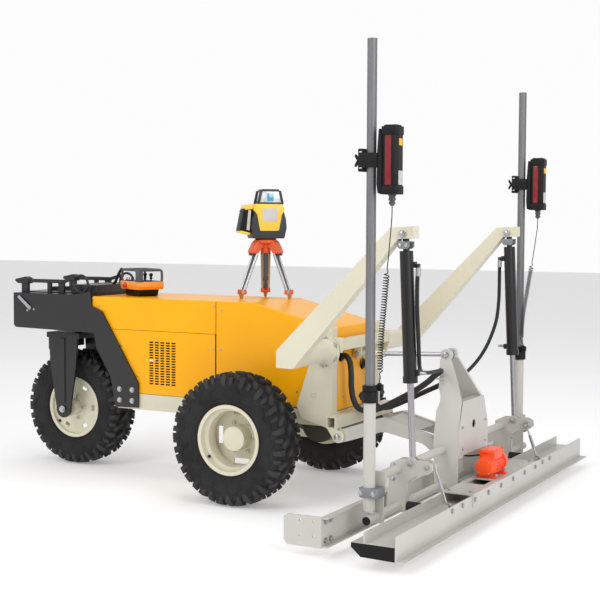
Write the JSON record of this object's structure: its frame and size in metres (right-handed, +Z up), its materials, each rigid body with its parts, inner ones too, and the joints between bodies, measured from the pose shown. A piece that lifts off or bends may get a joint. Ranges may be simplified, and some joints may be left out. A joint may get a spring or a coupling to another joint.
{
  "type": "ride-on laser power screed",
  "caption": "Three-wheel concrete screeding machine with a bonnet, two lift arms, a laser-levelled head, a plough blade and a vibrating screed plate.",
  "frame": {"origin": "on the ground, under the middle of the whole machine's box", "axes": "+X towards the screed head, +Z up, -Y the side with the box latch"},
  "size_m": [2.8344, 2.5, 2.075],
  "materials": {
    "hood_paint": "gloss",
    "cream_paint": "semi-gloss",
    "head_paint": "semi-gloss",
    "black_paint": "satin",
    "orange_paint": "gloss",
    "tank_paint": "satin",
    "cast": "as cast",
    "tyre": "matt",
    "rubber": "matt",
    "steel": "brushed",
    "chrome": "polished",
    "alu": "satin",
    "black_plastic": "matt",
    "orange_plastic": "semi-gloss",
    "red_plastic": "gloss",
    "tripod_plastic": "semi-gloss",
    "laser_plastic": "semi-gloss"
  },
  "bodies": {
    "root": {"chassis": "cream_paint", "towers": "cream_paint", "hitch_beam": "cream_paint", "top_link_beam": "cream_paint", "near_lift_arm": "cream_paint", "far_lift_arm": "cream_paint", "near_barrel": "black_paint", "far_barrel": "black_paint", "rear_hood": "hood_paint", "side_panels": "hood_paint", "front_hood": "hood_paint", "weight_box": "black_paint", "counterweight": "cast", "handle_frame": "black_paint", "engine": "cast", "tanks": "tank_paint", "drive_motors": "cast", "hoses": "rubber"},
    "fan": {"cooling_fan": "black_plastic"},
    "lid": {"box_lid": "black_paint"},
    "latch": {"box_latch": "steel"},
    "fork": {"rear_fork": "black_paint"},
    "rear_wheel": {"rear_tyre": "tyre", "rear_rim": "cream_paint"},
    "near_wheel": {"near_tyre": "tyre", "near_rim": "cream_paint"},
    "far_wheel": {"far_tyre": "tyre", "far_rim": "cream_paint"},
    "head": {"pipe_frame": "head_paint", "a_frame": "head_paint", "plough": "head_paint", "near_mast": "cream_paint", "far_mast": "cream_paint", "near_ram": "chrome", "far_ram": "chrome", "tie_rods": "steel"},
    "drawbar": {"drawbar": "cream_paint"},
    "top_link": {"top_link_tube": "cream_paint"},
    "top_link_slider": {"top_link_rod": "steel"},
    "near_slide": {"near_mast_tube": "steel", "near_cable": "rubber"},
    "far_slide": {"far_mast_tube": "steel", "far_cable": "rubber"},
    "near_laser_receiver": {"near_receiver": "black_plastic"},
    "far_laser_receiver": {"far_receiver": "black_plastic"},
    "near_knob": {"near_clamp_knob": "black_plastic"},
    "far_knob": {"far_clamp_knob": "black_plastic"},
    "screed": {"screed_plate": "head_paint", "rubber_mounts": "rubber", "vibrator": "orange_paint", "motor_cable": "rubber"},
    "rotor": {"vibrator_rotor": "steel"},
    "remote": {"remote_body": "orange_plastic"},
    "estop": {"estop_button": "red_plastic"},
    "near_stick": {"near_joystick": "black_plastic"},
    "far_stick": {"far_joystick": "black_plastic"},
    "tripod": {"tripod_head": "tripod_plastic", "tripod_legs": "alu", "laser_body": "laser_plastic"},
    "laser_head": {"laser_rotor": "alu"}
  },
  "joints": [
    {"name": "lift", "type": "slide", "parent": "root", "child": "head", "axis": [-0.0433, 0, 0.9991], "range_m": [-0.044, 0.15], "deforming": ["hoses"]},
    {"name": "drawbar_swing", "type": "hinge", "parent": "root", "child": "drawbar", "pos_m": [0.667, 0, 0.337], "axis": [0, -1, 0], "range_deg": [-6.3, 21.3]},
    {"name": "top_link_swing", "type": "hinge", "parent": "root", "child": "top_link", "pos_m": [0.619, 0, 0.7], "axis": [0, -1, 0], "range_deg": [-5.5, 18]},
    {"name": "top_link_reach", "type": "slide", "parent": "top_link", "child": "top_link_slider", "axis": [0.9991, 0, 0.0422], "range_m": [-0.005, 0.016]},
    {"name": "steer", "type": "hinge", "parent": "root", "child": "fork", "pos_m": [-1.1, 0, 0.8], "axis": [0, 0, 1], "range_deg": [-60, 60]},
    {"name": "rear_wheel_spin", "type": "hinge", "parent": "fork", "child": "rear_wheel", "pos_m": [-1.1, 0, 0.3175], "axis": [0, 1, 0], "continuous": true},
    {"name": "near_wheel_spin", "type": "hinge", "parent": "root", "child": "near_wheel", "pos_m": [0.21, -0.495, 0.3175], "axis": [0, 1, 0], "continuous": true},
    {"name": "far_wheel_spin", "type": "hinge", "parent": "root", "child": "far_wheel", "pos_m": [0.21, 0.495, 0.3175], "axis": [0, 1, 0], "continuous": true},
    {"name": "fan_spin", "type": "hinge", "parent": "root", "child": "fan", "pos_m": [-0.386, -0.206, 0.615], "axis": [0, 1, 0], "continuous": true},
    {"name": "lid_hinge", "type": "hinge", "parent": "root", "child": "lid", "pos_m": [-1.042, 0, 0.957], "axis": [0, 1, 0], "range_deg": [0, 75]},
    {"name": "latch_swing", "type": "hinge", "parent": "root", "child": "latch", "pos_m": [-1.243, -0.27, 0.876], "axis": [0, 1, 0], "range_deg": [-90, 0]},
    {"name": "near_mast_slide", "type": "slide", "parent": "head", "child": "near_slide", "axis": [0, 0, 1], "range_m": [0, 0.3]},
    {"name": "far_mast_slide", "type": "slide", "parent": "head", "child": "far_slide", "axis": [0, 0, 1], "range_m": [0, 0.3]},
    {"name": "near_receiver_slide", "type": "slide", "parent": "near_slide", "child": "near_laser_receiver", "axis": [0, 0, 1], "range_m": [-0.25, 0.4], "deforming": ["near_cable"]},
    {"name": "far_receiver_slide", "type": "slide", "parent": "far_slide", "child": "far_laser_receiver", "axis": [0, 0, 1], "range_m": [-0.25, 0.4], "deforming": ["far_cable"]},
    {"name": "near_knob_turn", "type": "hinge", "parent": "near_laser_receiver", "child": "near_knob", "pos_m": [1.06, -0.947, 1.59], "axis": [1, 0, 0], "continuous": true},
    {"name": "far_knob_turn", "type": "hinge", "parent": "far_laser_receiver", "child": "far_knob", "pos_m": [1.06, 0.947, 1.552], "axis": [1, 0, 0], "continuous": true},
    {"name": "screed_pitch", "type": "hinge", "parent": "head", "child": "screed", "pos_m": [1.207, 0, 0.134], "axis": [0, 1, 0], "range_deg": [-1.5, 1.5]},
    {"name": "rotor_spin", "type": "hinge", "parent": "screed", "child": "rotor", "pos_m": [1.31, 0, 0.218], "axis": [0, 1, 0], "continuous": true},
    {"name": "remote_lift_off", "type": "slide", "parent": "root", "child": "remote", "axis": [0, 0, 1], "range_m": [0, 0.3]},
    {"name": "estop_press", "type": "slide", "parent": "remote", "child": "estop", "axis": [0.4726, 0.8813, 0], "range_m": [0, 0.006], "stiffness_N_per_m": 800},
    {"name": "near_stick_tilt", "type": "hinge", "parent": "remote", "child": "near_stick", "pos_m": [-0.64947, -0.02412, 1.0145], "axis": [0, 1, 0], "range_deg": [-18, 18], "stiffness_Nm_per_rad": 0.4},
    {"name": "far_stick_tilt", "type": "hinge", "parent": "remote", "child": "far_stick", "pos_m": [-0.58778, -0.0572, 1.0145], "axis": [0, 1, 0], "range_deg": [-18, 18], "stiffness_Nm_per_rad": 0.4},
    {"name": "tripod_lift_off", "type": "slide", "parent": "root", "child": "tripod", "axis": [0, 0, 1], "range_m": [0, 0.4]},
    {"name": "laser_spin", "type": "hinge", "parent": "tripod", "child": "laser_head", "pos_m": [0.029, 0.125, 1.4], "axis": [0, 0, 1], "continuous": true}
  ],
  "couplings": [
    {"joint": "drawbar_swing", "follows": "lift", "rad_per_m": 2.4522},
    {"joint": "top_link_swing", "follows": "lift", "rad_per_m": 2.0595},
    {"joint": "top_link_reach", "follows": "lift", "ratio": 0.1}
  ]
}
